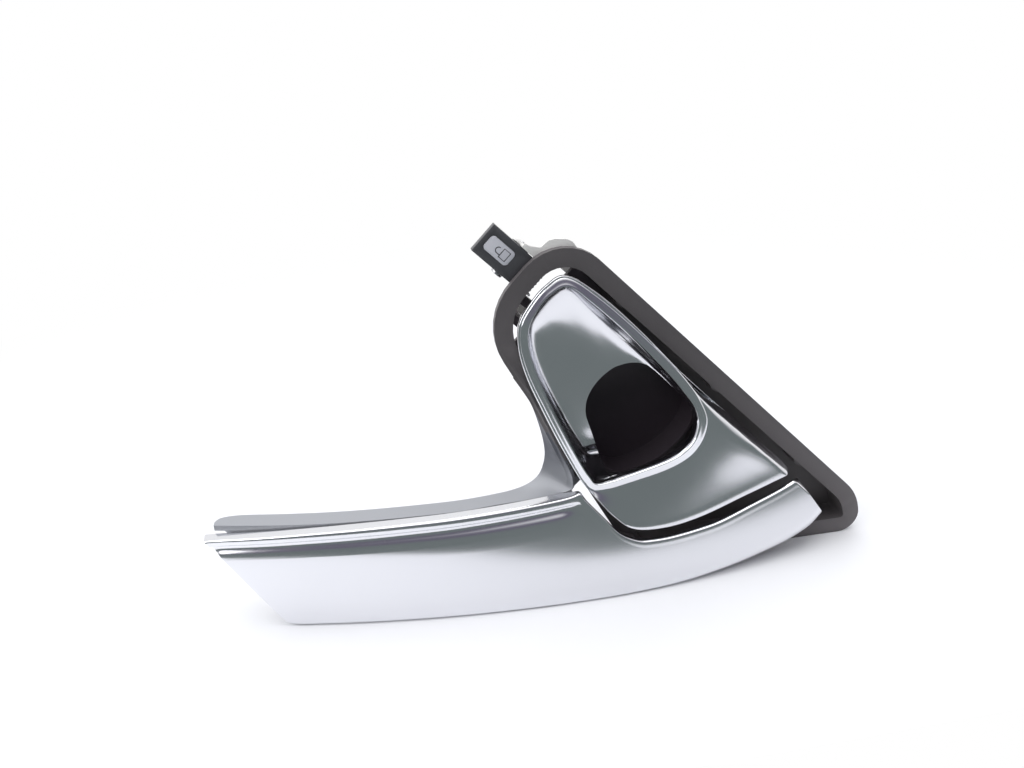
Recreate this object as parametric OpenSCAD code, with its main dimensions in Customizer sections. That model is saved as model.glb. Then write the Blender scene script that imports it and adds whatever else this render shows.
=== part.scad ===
// Interior door handle of a car: a ring bezel with a pull blade, a sprung release
// lever with a finger scoop, and a lock tab. X runs to the right, Y into the door
// panel and Z up. Y = 0 is the seat of the ring on the panel, and the origin is the
// main fixing boss, in the middle of the ring's slanted side.

/* [Ring] */
// Width of the ring's rim, seen from the front
rim_w = 7.4; // [6:0.2:8]
// Thickness of the rim in front of the panel
rim_t = 3; // [2:0.5:4]
// Depth of the skirt that stands in the panel's opening
skirt_depth = 12; // [11:0.5:14]
// Thickness of the skirt
skirt_t = 1.6; // [1.2:0.2:2]
// Thickness of the pan that closes the ring behind
pan_t = 2; // [1.5:0.5:2.5]

/* [Arm] */
// Width of the strip along the top of the arm
strip_w = 8.6; // [7:0.2:9.6]
// Thickness of the arm's walls
arm_t = 2.4; // [2:0.2:3]
// Distance between the ribs behind the arm
rib_pitch = 26; // [20:1:32]

/* [Blade] */
// How far the blade bows out in front of the panel
bow = 26.5; // [24:0.5:29]
// Radius of that bow, seen from above
bow_r = 560; // [480:20:700]
// Thickness of the blade's shell
blade_t = 2.2; // [1.8:0.1:2.6]
// Depth of the blade's turned-back top edge
blade_lip = 4.5; // [3.5:0.5:5]
// Gap between the blade and the pieces beside it
blade_gap = 0.7; // [0.5:0.1:1]

/* [Lever] */
// Thickness of the lever's shell
lever_t = 2.2; // [1.8:0.1:2.6]
// Depth of the wall round the lever's edge
lever_wall = 4; // [3:0.5:5]
// Height of the bead round the scoop
bead_h = 1.2; // [0.6:0.1:1.6]
// Thickness of the yoke behind the lever
yoke_t = 3; // [2.5:0.5:3.5]

/* [Hinge] */
// Diameter of the lever's hinge pin
pin_d = 3; // [2.5:0.1:3.4]
// Outer radius of the hinge knuckles
knuckle_r = 3; // [2.6:0.1:3.6]
// Wire thickness of the return spring
spring_wire = 1.1; // [0.8:0.1:1.2]
// Number of turns of the return spring
spring_turns = 6; // [4:1:8]

/* [Finger cup] */
// Wall thickness of the cup
cup_t = 1.6; // [1.2:0.2:2]
// Distance from the panel's face to the bottom of the cup
cup_floor = 20; // [18:1:24]

/* [Lock tab] */
// Width of the lock tab
tab_w = 12.8; // [11:0.2:13]
// Thickness of the lock tab
tab_t = 3.2; // [2.6:0.2:3.4]
// Diameter of the lock tab's pivot
lock_pin_d = 3; // [2.5:0.1:3.4]

/* [Fixing] */
// Pilot hole radius of the fixing bosses
boss_pilot_r = 1.65; // [1.4:0.05:1.8]
// Outer radius of the fixing bosses
boss_r = 4; // [3.6:0.1:4.2]
// Height of the fixing bosses behind the panel's face
boss_h = 14; // [13:0.5:18]
// Distance of the outer bosses from the main one
boss_pitch = 58; // [54:0.5:60]
// Shank radius of the small screws
screw_r = 1.5; // [1.3:0.05:1.6]
// Head radius of the small screws
screw_head_r = 3; // [2.6:0.1:3.1]

/* [Hidden] */
$fn = 40;

fit = 0.05;      // running clearance of pins and screws in their holes
seat = 0.3;      // clearance between pieces that lie side by side
bite = 0.5;      // overlap of the features that are moulded into one piece
floor_z = -81;   // lowest line of the blade and the ring
strip_z = -37.5; // top face of the arm's strip

// Corners of the ring's outer edge with their radii: x, z, radius
ring_corners = [[-66, 72, 20], [-100, 38, 27], [-36, floor_z, 16],
    [72.5, floor_z, 9], [68, -61.3, 25]];

// Top and bottom edge of the blade, paired from left to right: x, z
blade_top = [[-214.5, -41], [-211, -40.4], [-196, -39.5], [-176, -38.3], [-156, -37.6],
    [-137, -37.2], [-117, -37], [-97, -36.4], [-80, -35.6], [-68, -34.8], [-64, -34.4],
    [-62.2, -37.3], [-58, -42.4], [-54, -47.2], [-50, -52], [-46, -55.4], [-40, -58.2],
    [-35, -58.9], [-26, -59], [-13, -57.9], [-3, -56.4], [11, -52.6], [23, -49.5],
    [31, -47.2], [33, -46.6], [36.3, -47.6]];
blade_bottom = [[-188, -78], [-184, -80.8], [-172, -81], [-158, -81], [-144, -81],
    [-130, -81], [-115, -81], [-100, -81], [-86, -81], [-76, -81], [-69, -81],
    [-64, -81], [-58, -81], [-52, -81], [-46, -81], [-40, -81], [-34, -81],
    [-27, -81], [-17, -80.7], [-5, -79.9], [6, -78.8], [18, -77], [29, -74.9],
    [39, -71.9], [44, -69.6], [49, -66]];

// Outlines of the lever, paired point by point, from the top down the left side
lever_edge = [[-65.4, 53.7], [-73.8, 50.4], [-80.4, 43.7], [-84.8, 36.3], [-85.4, 27],
    [-82.9, 15.7], [-77.9, 2.6], [-71.4, -12.9], [-65.8, -24.9], [-62.4, -31.2],
    [-57.3, -38], [-50.5, -46.6], [-42, -53.2], [-28, -54.8], [-12, -52.9], [8, -48],
    [22, -44.8], [30.5, -42.6], [29.5, -39.2], [17, -26.7], [2, -11.8], [-10, 0.2],
    [-22, 12.8], [-37, 29.8], [-52.6, 45.2]];
bead_outer = [[-65.2, 52.8], [-73.2, 49.7], [-79.6, 43.2], [-83.9, 36], [-84.5, 27],
    [-82, 16], [-77, 3], [-70.5, -12.5], [-65, -24.5], [-61.8, -30.6], [-58.6, -34.5],
    [-51.4, -34.75], [-45.5, -33.8], [-30, -30.6], [-21.6, -27.8], [-16, -24.5], [-12.5, -20.5],
    [-10.5, -16.5], [-9.5, -12], [-9.9, -8], [-11.8, -3.2], [-15.4, 3.2],
    [-23.2, 13.4], [-38, 29.6], [-53.4, 44.4]];
bead_inner = [[-64.8, 49.1], [-71.8, 46.9], [-77.4, 41.2], [-80.8, 34.5], [-81, 26],
    [-78.4, 15.6], [-73.7, 3], [-67, -12.5], [-62.1, -23], [-59.4, -27.8], [-56.6, -31.3],
    [-50.4, -30.8], [-45.5, -29.8], [-31, -26.4], [-23.6, -24], [-19.4, -21.5], [-16.4, -18.4],
    [-14.9, -15.2], [-14.2, -11.2], [-14.5, -8], [-15.8, -4], [-19, 1],
    [-26.4, 10.8], [-41.2, 27.6], [-56.5, 42.6]];
// Edge of the finger hole: x, z, y
hole_edge = [[-43, 11.2, 3], [-46, 9.8, 3], [-49.3, 7.4, 3], [-52.2, 4.4, 3],
    [-54.6, 0.8, 3], [-56.2, -3.5, 3], [-56.4, -9, 3], [-54.8, -15, 3], [-52.4, -23, 3],
    [-51.2, -27.8, 1.8], [-51, -30.3, -11.6], [-49.5, -30.3, -12.8], [-45.3, -29.4, -12.6],
    [-31.1, -26.1, -12], [-23.8, -23.7, -11.6], [-19.7, -21.3, -11.3], [-16.7, -18.2, -10.8],
    [-15.3, -15, -10.4], [-14.6, -11.2, -9.8], [-14.9, -7.9, -8.8], [-16.3, -3.8, -6],
    [-20, 0.2, -1.5], [-26, 6.4, 2.5], [-31.2, 10.6, 3], [-37, 12, 3]];
// How much of the flat panel each of those points has, and how steep the scoop starts
panel_share = [0, 0, 0, 0, 0, 0, 0, 0, 0, 0, 0.9, 1, 1, 1, 1, 1, 1, 1, 1, 1, 1, 0.6,
    0, 0, 0];
scoop_steep = [0.3, 0.5, 0.8, 1, 1, 1, 1, 1, 0.9, 0.7, 0.5, 0.2, 0, 0, 0, 0, 0, 0, 0, 0,
    0.1, 0.3, 0.5, 0.4, 0.3];

// Outer and inner edge of the web that runs from the ring down to the arm: x, y, z
web_outer = [[-87, -1.6, 13], [-83.2, -1.5, 6.5], [-80.1, -1.2, 0.5],
    [-77.9, -1.2, -6.5], [-76, -1.3, -14.5], [-75.3, -1.7, -21], [-76, -2.2, -26],
    [-78.2, -2.8, -30.8], [-82.4, -3.4, -34], [-89, -3.8, -36], [-98, -4, -37]];
web_inner = [[-83.4, -2.9, 13], [-79.9, -3.8, 4.5], [-76.9, -5.4, -3],
    [-73.7, -7.2, -10.5], [-70.4, -9, -18.5], [-67.6, -10.6, -25], [-66, -11.4, -30.5],
    [-66.8, -11.8, -34.9], [-74, -12, -36], [-86, -12.4, -36.7], [-98, -12.6, -37]];

// Outline of the finger cup's inside: x, z
cup_outline = [[-42, 15.5], [-53, 10.5], [-60, 1], [-60.5, -11], [-57, -24],
    [-49.5, -33.5], [-43, -39.5], [-33, -39.5], [-20, -33], [-10.5, -23], [-8.5, -12],
    [-14, -1], [-24, 9.5], [-32, 14.8]];

// Hinge frame: u runs along the slanted side, v across it
hinge_u = -90.5;
hinge_y = knuckle_r + 1.5;   // the knuckles keep clear of the shield in front of them
arm_left = [-28.7, -25];    // v range of the yoke's left arm
arm_right = [-5.4, -2.4];   // v range of the yoke's right arm
crank_v = [-36.8, -33.4];   // v range of the yoke's crank
ear_w = 3.4;
beam_u = -89;               // left face of the bracket's beam
// Outline of the bracket's front shield, which shows above the ring: u, v
shield = [[-103, -11.6], [-103, -9.8], [-100.8, -9.3], [-97.4, -7.1], [-96.8, -3],
    [-95.3, -1], [-91.6, 1.9], [-89.4, 2.5], [-86, 1.9], [-86, -4.6], [-89.2, -6.5],
    [-89.2, -11.6]];
lock_u = -101.5;
lock_y = 7.6;
tab_v = [-11.9 - tab_w, -11.9];
tab_end_u = -116.6;
tab_root_u = -95.8;
spring_v = [-24.6, -13];
pin_end = arm_left[0] - seat - ear_w - 2.8;

// Room for the scoop's left side, which comes through the ring: x, z
lever_room = [[-81, 18], [-77.2, 9], [-73.8, -1], [-70.6, -9], [-67.2, -17], [-63.2, -25],
    [-58.8, -31], [-54, -34.5], [-50, -34], [-60, 18]];

cup_screw_spots = [[-60, 14], [-38.5, -48], [-5, -24]];
yoke_boss_spots = [[-74.2, 33.9], [-66, 43.5], [-58, 39]];
yoke_boss_front = [2, -0.1, 0.8];
bracket_screw_spots = [[-64.8, 22.1], [-54.5, 46.6]];
buffer_spots = [[6, -37], [-24, -43]];
blade_arm_x = [-186, -150, -112, -76];
blade_arm_z = -60;
blade_peg_spots = [[-30, -77.6], [-12, -77.6]];
peg_r = 1.8;
rib_start = -197;
rib_w = 1.8;
// The clips stand in the middle of two bays between the ribs
clip_spots = [for (bay = [1.5, 3.5]) [rib_start + bay * rib_pitch, -68.5]];
pan_front = skirt_depth - pan_t;
yoke_front = 4.7;
bracket_seat = skirt_depth + 3;
bracket_t = 2.5;

function unit(v) = v / norm(v);
function lerp(a, b, t) = a + (b - a) * t;
function smooth(t) = let (c = max(0, min(1, t))) c * c * (3 - 2 * c);
function across(x, z) = (x + z) / sqrt(2);
// The smooth curve through four points in a row, between the middle two
function bend(p, q, r, s, t) = 0.5 * (2 * q + (r - p) * t
    + (2 * p - 5 * q + 4 * r - s) * t * t + (3 * q - p - 3 * r + s) * t * t * t);
function loop_curve(pts, steps) = let (n = len(pts))
    [for (i = [0:n - 1], k = [0:steps - 1])
        bend(pts[(i + n - 1) % n], pts[i], pts[(i + 1) % n], pts[(i + 2) % n], k / steps)];
function open_curve(pts, steps) = let (n = len(pts))
    concat([for (i = [0:n - 2], k = [0:steps - 1])
        bend(pts[max(i - 1, 0)], pts[i], pts[i + 1], pts[min(i + 2, n - 1)], k / steps)],
        [pts[n - 1]]);

// Front face of the blade and of the lever's panel, as a depth over x and z
function lean(x) = 0.06 + 0.16 * smooth((x + 190) / 150);
function bow_y(x) = bow_r - bow - sqrt(bow_r * bow_r - (x + 65) * (x + 65));
function face_y(x, z) = bow_y(x) + lean(x) * (z - floor_z)
    + 1.6 * max(0, across(x, z) + 9.3);
function crest_y(z) = -6 - 0.115 * (55 - z);
// Front of the arm's plate, behind the blade's top edge
function arm_y(x) = bow_y(x) + lean(x) * (strip_z - floor_z) + blade_lip + blade_gap;

// Corner arcs of a rounded outline, moved in by an inset
function corner_arc(p, q, s, r, steps) = let (
    a = unit(p - q),
    b = unit(s - q),
    half = acos(a * b) / 2,
    centre = q + unit(a + b) * r / sin(half),
    first = q + a * r / tan(half) - centre,
    start = atan2(first[1], first[0]))
    [for (k = [0:steps]) centre + r * [cos(start + (180 - 2 * half) * k / steps),
        sin(start + (180 - 2 * half) * k / steps)]];
function inset_corner(p, q, s, d) = let (
    a = unit(q - p),
    b = unit(s - q),
    na = [-a[1], a[0]],
    nb = [-b[1], b[0]])
    q + (na + nb) * d / (1 + na * nb);
function xz(c) = [c[0], c[1]];
function ring_outline(inset) = let (
    n = len(ring_corners),
    c = [for (i = [0:n - 1]) inset_corner(xz(ring_corners[(i + n - 1) % n]),
        xz(ring_corners[i]), xz(ring_corners[(i + 1) % n]), inset)])
    [for (i = [0:n - 1]) each corner_arc(c[(i + n - 1) % n], c[i], c[(i + 1) % n],
        max(0.8, ring_corners[i][2] - inset), 8)];
// An outline grown outwards by a distance, for a closed run of points
function grown(pts, d) = let (n = len(pts))
    [for (i = [0:n - 1]) let (t = unit(pts[(i + 1) % n] - pts[(i + n - 1) % n]))
        pts[i] + d * [t[1], -t[0]]];

// A plate with its outline in X and Z, between two depths
module slab(front, back) {
    translate([0, back, 0]) rotate([90, 0, 0]) linear_extrude(back - front) children();
}
// A round bar along Y at a place in X and Z
module bar(spot, front, back, r) {
    translate([spot[0], back, spot[1]]) rotate([90, 0, 0]) cylinder(h = back - front, r = r);
}
// The hinge frame: its X is u, its Z is v
module slanted() {
    rotate([0, 45, 0]) children();
}
module block(u, y, v) {
    translate([u[0], y[0], v[0]]) cube([u[1] - u[0], y[1] - y[0], v[1] - v[0]]);
}
module rod(u, y, v, r) {
    translate([u, y, v[0]]) cylinder(h = v[1] - v[0], r = r);
}
// A closed skin over sections with the same number of points. The back of a paired
// skin is split into triangles in the same way as its front.
module skin(sections, looped, paired = false) {
    n = len(sections);
    m = len(sections[0]);
    last = looped ? n - 1 : n - 2;
    half = m / 2;
    sides = [for (i = [0:last], j = [0:m - 1]) let (
        a = i * m + j,
        b = i * m + (j + 1) % m,
        c = ((i + 1) % n) * m + (j + 1) % m,
        d = ((i + 1) % n) * m + j)
        each (paired && j >= half ? [[a, b, d], [b, c, d]] : [[a, b, c], [a, c, d]])];
    ends = looped ? [] : [for (e = [0, n - 1], j = [0:half - 2]) let (
        a = e * m + j,
        b = a + 1,
        c = e * m + m - 2 - j,
        d = c + 1)
        each (e == 0 ? [[a, c, b], [a, d, c]] : [[a, b, c], [a, c, d]])];
    polyhedron([for (s = sections) each s], concat(sides, ends), convexity = 8);
}
// A small screw along Y, its head to the back
module screw(spot, front, head_face) {
    difference() {
        union() {
            bar(spot, front, head_face + bite, screw_r - fit);
            bar(spot, head_face, head_face + 1.8, screw_head_r);
        }
        for (turn = [0, 90])
            translate([spot[0], head_face + 1.6, spot[1]]) rotate([0, turn, 0])
                cube([3.4, 1.4, 0.8], center = true);
    }
}

// Outline of the ring's opening, grown by a distance
module ring_opening(d) {
    intersection() {
        union() {
            polygon(ring_outline(rim_w - d));
            polygon(grown(lever_room, d));
        }
        polygon(ring_outline(0.9));
    }
}
// Ring, skirt and pan
module ring_walls() {
    slab(-rim_t, 0) difference() {
        polygon(ring_outline(0));
        ring_opening(0);
    }
    difference() {
        union() {
            slab(-bite, skirt_depth) difference() {
                ring_opening(skirt_t);
                ring_opening(0);
            }
            slab(pan_front, skirt_depth) ring_opening(bite);
        }
        slab(pan_front - 1, skirt_depth + 1) polygon(grown(loop_curve(cup_outline, 4), cup_t + seat));
        slanted() {
            block([-110, -76], [0.01, 20], [-46, 12]);
            block([-77, -64], [pan_front - 1, 20], [-37.5, -9.2]);
        }
    }
}
// Strip, plate, flange and ribs of the arm, drawn from above
module arm_plan(front, back) {
    xs = [for (k = [0:17]) lerp(-209, -39, k / 17)];
    polygon(concat([for (x = xs) [x, arm_y(x) + front]],
        [for (k = [17:-1:0]) [xs[k], arm_y(xs[k]) + back]]));
}
module arm_walls() {
    intersection() {
        union() {
            translate([0, 0, floor_z]) linear_extrude(strip_z - 1 - floor_z) arm_plan(0, arm_t);
            translate([0, 0, floor_z + 4]) linear_extrude(arm_t) arm_plan(0, strip_w);
            difference() {
                for (x = [rib_start:rib_pitch:-60])
                    translate([x, arm_y(x) + bite, floor_z])
                        cube([rib_w, strip_w - bite, strip_z - 1 - floor_z]);
                // room for the heads of the blade's screws
                for (x = blade_arm_x) bar([x, blade_arm_z], arm_y(x) + arm_t, 30, screw_head_r + seat);
            }
        }
        slab(-30, 30) polygon([[-207.5, strip_z - 1], [-64.5, strip_z - 1], [-61.5, -39.5],
            [-50, -58], [-39, -63], [-39, floor_z + 4], [-178, floor_z + 4]]);
    }
}
// The visible web and strip: a swept plate
module web() {
    strip_xs = [-112, -130, -148, -166, -184, -200, -208, -210.5];
    taper = [1, 1, 1, 1, 1, 0.95, 0.7, 0.3];
    outer = concat(web_outer, [for (k = [0:7]) [strip_xs[k],
        arm_y(strip_xs[k]) + strip_w * taper[k], strip_z]]);
    inner = concat(web_inner, [for (x = strip_xs) [x, arm_y(x), strip_z]]);
    a = open_curve(outer, 5);
    b = open_curve(inner, 5);
    n = len(a);
    skin([for (i = [n - 1:-1:0]) let (
        along = a[min(i + 1, n - 1)] - a[max(i - 1, 0)],
        down = unit(cross(b[i] - a[i], along)) * arm_t)
        [b[i], a[i], a[i] + down, b[i] + down]], false, true);
    // Wall from the web's inner edge back to the ring
    edge = open_curve([for (i = [1:7]) web_inner[i]], 2);
    skin([for (i = [len(edge) - 1:-1:0]) let (
        p = edge[i],
        foot = [max(p[0] + 0.6, -99.9 - (p[2] - 37.9) / 1.85 + 3), -1, p[2]],
        top = p + [0.6, 0.9, 0])
        [foot, top, top + [-arm_t, 0.6, 0], foot + [-arm_t, 0, 0]]], false, true);
}
module fixing_bosses(front, back, r) {
    for (u = [-boss_pitch, 0, boss_pitch]) slanted() translate([u, back, 0]) rotate([90, 0, 0])
        cylinder(h = back - front, r = r);
}
module carrier() {
    color([0.27, 0.26, 0.28]) difference() {
        union() {
            ring_walls();
            arm_walls();
            web();
            fixing_bosses(-bite, boss_h, boss_r);
            for (s = bracket_screw_spots) bar(s, pan_front + bite, bracket_seat, screw_head_r);
            for (s = cup_screw_spots) bar(s, pan_front - 4, pan_front + bite, screw_head_r);
            for (k = [0, 1]) bar(buffer_spots[k], buffer_front(k) + 3, pan_front + bite, 2.6);
            for (s = clip_spots) clip_tab(s);
        }
        fixing_bosses(0, boss_h + 1, boss_pilot_r);
        for (s = bracket_screw_spots) bar(s, pan_front - 1, bracket_seat + 1, screw_r);
        for (s = cup_screw_spots) bar(s, pan_front - 3, skirt_depth + 1, screw_r);
        for (x = blade_arm_x) bar([x, blade_arm_z], -30, 30, screw_r + 0.2);
        for (s = blade_peg_spots) bar(s, -rim_t - 1, 1, peg_r + fit);
    }
}
function buffer_front(k) = let (s = buffer_spots[k])
    face_y(s[0], s[1]) + lever_t + seat + 1.2;

// Tab for a spring clip, behind the arm
module clip_tab(s) {
    y = arm_y(s[0]) + arm_t - bite;
    translate([s[0] - 5, y, s[1] - 1]) cube([10, 16, 2]);
}
module panel_clips() {
    color([0.55, 0.56, 0.58]) for (s = clip_spots) {
        y = arm_y(s[0]) + arm_t - bite;
        translate([s[0] - 4, 0, s[1]]) rotate([90, 0, 90]) linear_extrude(8) difference() {
            polygon([[y + 4, 1.7], [y + 7, 3.4], [y + 13, 1.7], [y + 16.8, 1.7],
                [y + 16.8, -1.7], [y + 13, -1.7], [y + 7, -3.4], [y + 4, -1.7]]);
            polygon([[y + 3, 1.05], [y + 16.1, 1.05], [y + 16.1, -1.05], [y + 3, -1.05]]);
        }
    }
}

// The blade's section at one place: front points, then the same number behind
function blade_section(top, bottom) = let (
    span = norm(bottom - top),
    dir = (bottom - top) / span,
    bead = 1 - smooth((top[0] + 72) / 10),
    round_r = 2 + 4.5 * smooth((bottom[0] + 55) / 80),
    // distance from the top edge, depth with a full bead, depth without one
    rows = [[0.4, blade_lip, 2.6], [0, blade_lip - 0.6, 1.2], [0.5, 0.7, 0.35], [1.4, -0.5, 0],
        [2.8, -0.7, 0], [4, 0.3, 0], [4.8, 1.3, 0], [6.6, 1.4, 0], [9, 0.4, 0], [12, 0, 0]],
    head = [for (r = rows) [min(r[0], span * 0.5 + r[0] / 20), lerp(r[2], r[1], bead)]],
    tail = [for (t = [0.45, 0.75]) [lerp(12, span - round_r, t), 0]],
    foot = [for (a = [0, 30, 60, 90]) [span - round_r * (1 - sin(a)), round_r * (1 - cos(a)) * 0.9]],
    path = concat(head, tail, foot),
    n = len(path),
    inner = path[3][1] + blade_t)
    concat(
        [for (p = path) let (q = top + dir * p[0]) [q[0], face_y(q[0], q[1]) + p[1], q[1]]],
        [for (k = [n - 1:-1:0]) let (
            d = max(blade_t * 0.9, min(path[k][0], span - blade_t)),
            q = top + dir * d,
            rise = k < 3 ? lerp(path[0][1] + 0.05, inner, k / 3) : path[k][1] + blade_t)
            [q[0], face_y(q[0], q[1]) + rise, q[1]]]);
module pull_blade() {
    t = open_curve(blade_top, 2);
    b = open_curve(blade_bottom, 2);
    color([0.78, 0.79, 0.81]) {
        difference() {
            union() {
                skin([for (i = [len(t) - 1:-1:0]) blade_section(t[i], b[i])], false, true);
                for (x = blade_arm_x)
                    bar([x, blade_arm_z], face_y(x, blade_arm_z) + 1.6, arm_y(x) - 1.1, 3.4);
                for (s = blade_peg_spots) {
                    bar(s, face_y(s[0], s[1]) + 1.7, -rim_t - seat, 2.4);
                    bar(s, -rim_t - 1, 1.2, peg_r);
                }
            }
            for (x = blade_arm_x) bar([x, blade_arm_z], arm_y(x) - 5, arm_y(x) + 1, screw_r);
        }
    }
}
module blade_screws() {
    color([0.6, 0.6, 0.62]) for (x = blade_arm_x)
        screw([x, blade_arm_z], arm_y(x) - 4.5, arm_y(x) + arm_t + 0.8);
}

// The lever's section at one place, from the rear of its edge to the hole and back
function lever_section(e, bo, bi, h, share, steep) = let (
    d = norm(bo - e),
    n = (bo - e) / d,
    ye = lerp(crest_y(e[1]) + 0.9, face_y(e[0], e[1]), share),
    yb = crest_y(bo[1]) + bead_h,
    round_r = min(0.9, 0.5 * d),
    // the panel eases from the blade's face up to the bead
    panel = [for (t = [0.3, 0.6, 0.85]) let (
        part = lerp(round_r / d, 1, t),
        q = lerp(e, bo, part))
        [q[0], lerp(lerp(ye, yb, part), face_y(q[0], q[1])
            + (yb - face_y(bo[0], bo[1])) * smooth(t), share), q[1]]],
    bead = [for (r = [[0, bead_h], [0.16, 0.22], [0.5, 0], [0.84, 0.16], [1, bead_h + 0.2]])
        let (q = lerp(bo, bi, r[0])) [q[0], crest_y(q[1]) + r[1], q[1]]],
    yi = crest_y(bi[1]) + bead_h + 0.2,
    power = 1 + 1.5 * steep,
    hole = [h[0], h[1]],
    scoop = [for (t = [0.15, 0.32, 0.5, 0.68, 0.85, 1]) let (q = lerp(bi, hole, pow(t, power)))
        [q[0], lerp(yi, h[2], 1 - pow(1 - t, power)), q[1]]],
    walk = concat([bead[4]], scoop),
    m = len(walk),
    dir = unit([hole[0] - bi[0], 0, hole[1] - bi[1]]),
    back = [for (k = [m - 1:-1:2]) let (
        step = walk[min(k + 1, m - 1)] - walk[k - 1],
        normal = unit([0, step * dir, 0] - dir * step[1]))
        walk[k] + normal * lever_t],
    under = lerp(bo, bi, lerp(0.6, 0.3, share)),
    // the wall is lower at the top, where the lever swings past the rim
    wall = lever_wall * (1 - 0.5 * smooth((e[1] - 38) / 10)),
    mid = e + n * max(2.5, 0.5 * d),
    rim = e + n * 2.4,
    mid_y = d > 5 ? face_y(mid[0], mid[1]) + (yb - face_y(bo[0], bo[1])) * smooth(0.5) * share
        + lever_t : ye + 2.9)
    concat(
        [[e[0] + n[0] * 0.5, ye + wall, e[1] + n[1] * 0.5], [e[0], ye + 0.9, e[1]]],
        [let (q = e + n * round_r) [q[0], ye, q[1]]],
        panel, bead, scoop, back,
        [[under[0], crest_y(under[1]) + 3.8, under[1]], [mid[0], mid_y, mid[1]],
            [rim[0], ye + min(3, wall - 0.8), rim[1]],
            [e[0] + n[0] * 2.2, ye + wall, e[1] + n[1] * 2.2]]);
module release_lever() {
    steps = 3;
    e = loop_curve(lever_edge, steps);
    bo = loop_curve(bead_outer, steps);
    bi = loop_curve(bead_inner, steps);
    h = loop_curve(hole_edge, steps);
    share = loop_curve(panel_share, steps);
    steep = loop_curve(scoop_steep, steps);
    color([0.74, 0.76, 0.78]) difference() {
        union() {
            skin([for (i = [0:len(e) - 1]) lever_section(e[i], bo[i], bi[i], h[i],
                max(0, min(1, share[i])), max(0, min(1, steep[i])))], true);
            for (k = [0:2])
                bar(yoke_boss_spots[k], yoke_boss_front[k], yoke_front - 0.05, 2.6);
        }
        for (k = [0:2]) bar(yoke_boss_spots[k], yoke_boss_front[k] + 1, yoke_front + 1, screw_r);
    }
}

// Yoke behind the lever: plate, two hinge arms and a crank for the cable
module lever_yoke() {
    color([0.1, 0.1, 0.11]) difference() {
        slanted() union() {
            block([-80.5, -66], [yoke_front, yoke_front + yoke_t], [-37, -3.6]);
            for (a = [arm_left, arm_right]) {
                block([hinge_u, -76.6], [yoke_front, yoke_front + yoke_t], a);
                rod(hinge_u, hinge_y, a, knuckle_r);
            }
            block([-86, -78], [6, 20], crank_v);
        }
        slanted() {
            rod(hinge_u, hinge_y, [-40, 2], pin_d / 2 + fit);
            rod(-82, 17, [crank_v[0] - 1, crank_v[1] + 1], 1.6);
            block([-84, -80], [16.4, 21], [crank_v[0] + 1.1, crank_v[1] - 1.1]);
        }
        for (s = yoke_boss_spots) bar(s, 0, 12, screw_r + 0.2);
    }
}
module yoke_screws() {
    color([0.6, 0.6, 0.62]) for (k = [0:2])
        screw(yoke_boss_spots[k], yoke_boss_front[k] + 1.3, yoke_front + yoke_t);
}

// Bracket that carries both pivots, behind the ring's upper left corner
module hinge_bracket() {
    ear_a = [arm_left[0] - seat - ear_w, arm_left[0] - seat];
    ear_b = [arm_right[1] + seat, arm_right[1] + seat + 3];
    cheek = [tab_v[1] + seat, tab_v[1] + 1.5];
    back = bracket_seat + bracket_t;
    color([0.86, 0.85, 0.8]) difference() {
        slanted() union() {
            block([beam_u, beam_u + 2.6], [9, back], [ear_a[0], ear_b[1]]);
            for (e = [ear_a, ear_b]) {
                rod(hinge_u, hinge_y, e, knuckle_r - 0.1);
                block([beam_u - 0.8, beam_u + 2.2], [hinge_y, 12], e);
            }
            slab(0.3, 1.2) polygon(shield);
            block([-92.6, -88.4], [1, hinge_y], ear_b);
            block([-100, beam_u + 1], [12, 14], cheek);
            rod(lock_u, lock_y, cheek, 3.4);
            block([-103, -97.5], [0.5, lock_y], cheek);
            block([-104.6, -98], [lock_y, 12.5], cheek);
            block([beam_u + 2.6 - bite, -58], [bracket_seat, back], [ear_a[0] - 0.6, ear_a[1] + 1.5]);
            block([beam_u + 1, -68], [bracket_seat, back], [-8.6, -2.4]);
        }
        slanted() {
            rod(hinge_u, hinge_y, [-50, 3.5], pin_d / 2 + fit);
            rod(lock_u, lock_y, [tab_v[1] - 1, tab_v[1] + 6], lock_pin_d / 2 + fit);
        }
        for (s = bracket_screw_spots) bar(s, bracket_seat - 1, back + 1, screw_r + 0.2);
    }
}
module bracket_screws() {
    color([0.6, 0.6, 0.62]) for (s = bracket_screw_spots)
        screw(s, pan_front + 0.5, bracket_seat + bracket_t);
}
module hinge_pin() {
    color([0.7, 0.71, 0.73]) slanted() rod(hinge_u, hinge_y, [pin_end, arm_right[1] + seat + 2.8], pin_d / 2);
}
module pin_clips() {
    color([0.5, 0.5, 0.52]) slanted() difference() {
        rod(hinge_u, hinge_y, [pin_end + 1.6, pin_end + 2.4], 2.8);
        rod(hinge_u, hinge_y, [pin_end, pin_end + 4], pin_d / 2 + fit);
        block([hinge_u - 0.8, hinge_u + 0.8], [hinge_y, hinge_y + 4], [pin_end, pin_end + 4]);
    }
}

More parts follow.
